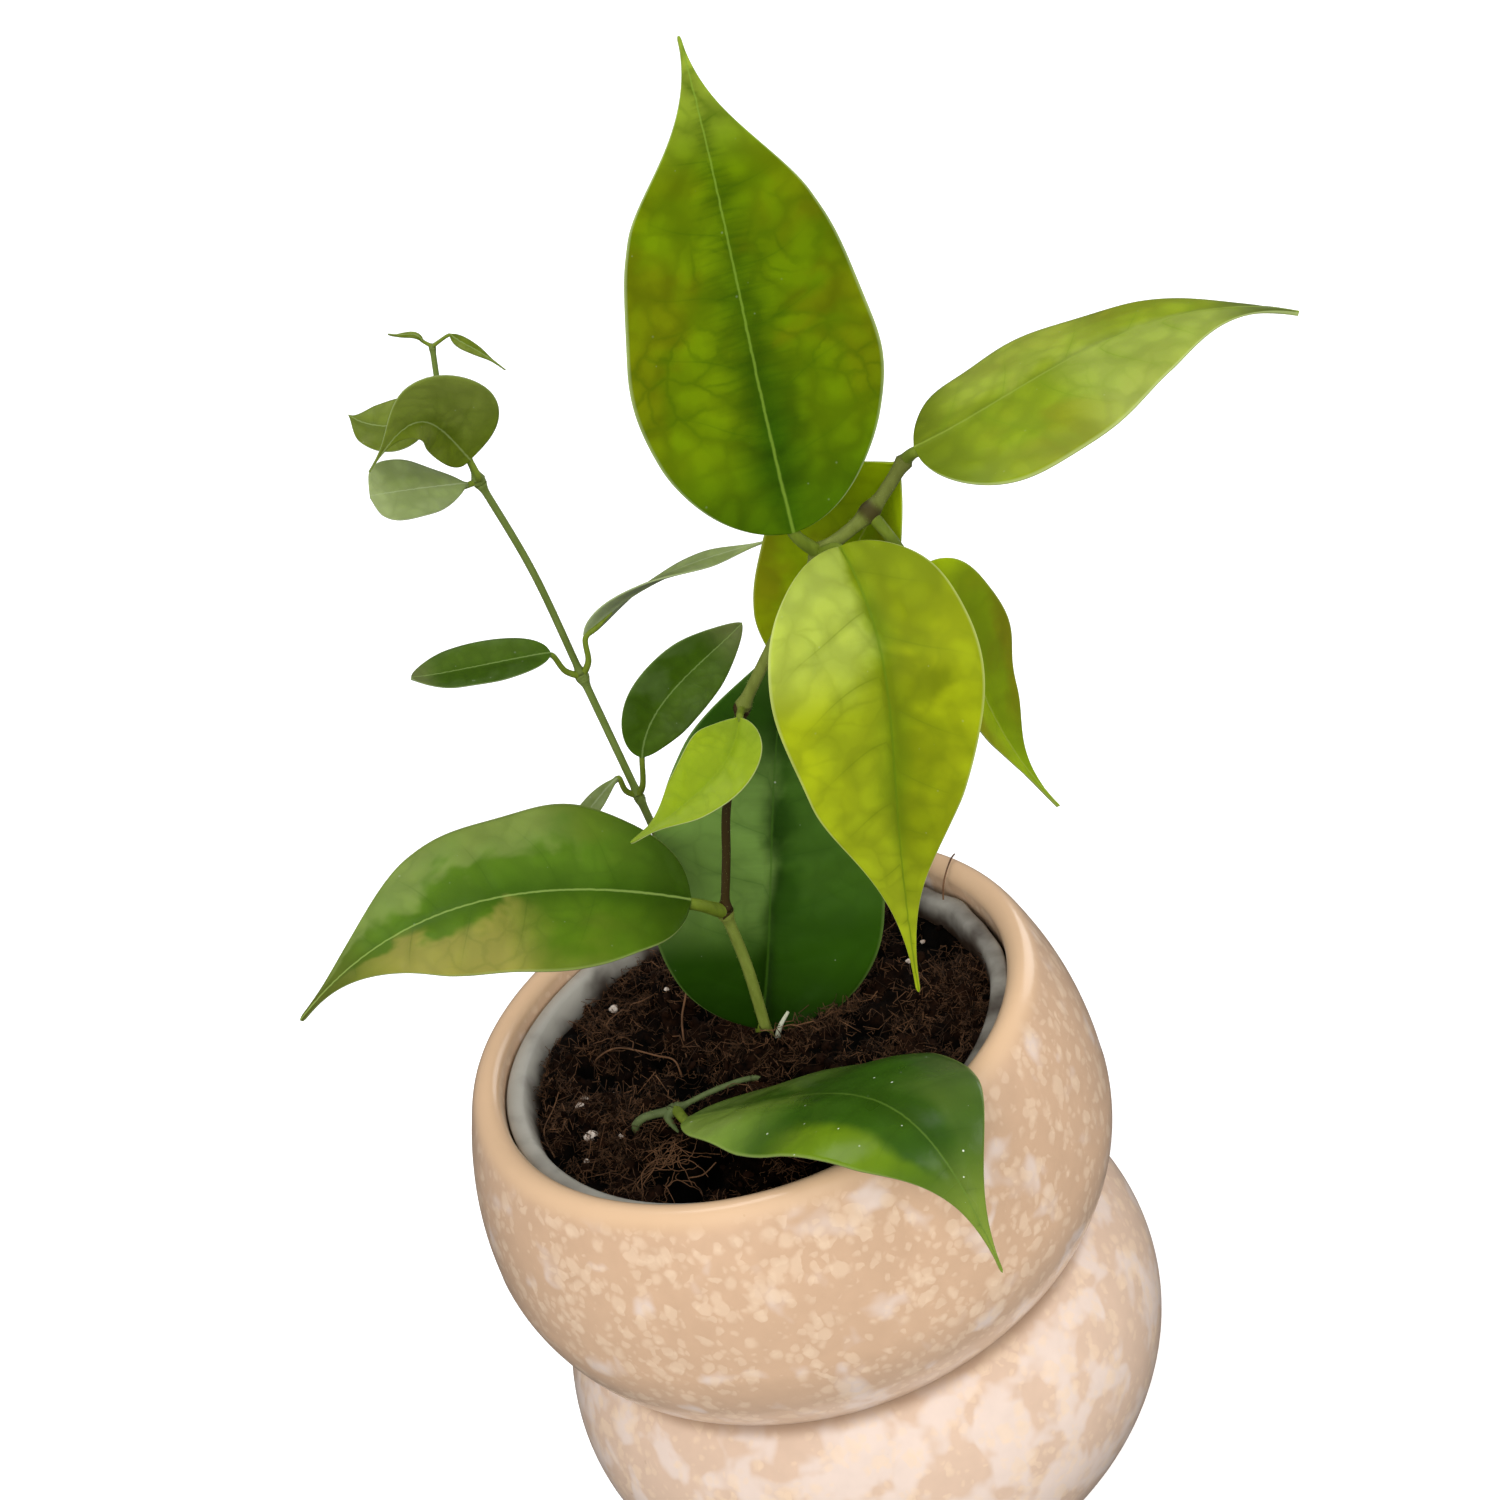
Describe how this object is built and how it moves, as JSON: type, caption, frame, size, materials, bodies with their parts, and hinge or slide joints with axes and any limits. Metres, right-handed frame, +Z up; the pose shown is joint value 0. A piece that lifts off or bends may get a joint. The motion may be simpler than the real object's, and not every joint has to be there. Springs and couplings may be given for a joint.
{
  "type": "hoya paziae",
  "caption": "Climbing plant with pointed leathery leaves on thin knotted vines, in soil in a thin nursery pot that stands in a glazed cover pot with two round bulges.",
  "frame": {"origin": "centre of the flat base of the cover pot, on the surface that it stands on", "axes": "+Z up along the pot's axis of revolution; +X to the side that the long right leaf points to; -Y towards the side where a leaf hangs over the rim"},
  "size_m": [0.1863, 0.1282, 0.2732],
  "materials": {
    "pot_glaze": "satin glaze, peach beige with cream flecks",
    "liner_plastic": "thin, satin, off-white",
    "coir_soil": "rough, dark, fibrous",
    "stem_green": "finely hairy, satin",
    "stem_grey": "finely hairy, matte",
    "leaf_bright": "leathery, satin, yellow green",
    "leaf_green": "leathery, satin, dark green",
    "leaf_grey": "leathery, satin, grey green"
  },
  "bodies": {
    "root": {"cover_pot": "pot_glaze", "nursery_pot": "liner_plastic", "soil": "coir_soil", "vine_main": "stem_green", "vine_back": "stem_green", "vine_low": "stem_grey", "leaf_top": "leaf_bright", "leaf_front": "leaf_bright", "leaf_right": "leaf_bright", "leaf_behind": "leaf_green", "leaf_hanging": "leaf_green", "leaf_left": "leaf_green", "leaf_small": "leaf_bright", "leaf_tall": "leaf_green", "leaf_resting": "leaf_green", "twig_leaf_low_right": "leaf_grey", "twig_leaf_low_left": "leaf_grey", "twig_leaf_mid_left": "leaf_grey", "twig_leaf_mid_right": "leaf_grey", "twig_leaf_high_front": "leaf_grey", "twig_leaf_high_back": "leaf_grey", "twig_leaf_top_left": "leaf_grey", "tip_leaf_left": "leaf_grey", "tip_leaf_right": "leaf_grey"}
  },
  "joints": []
}
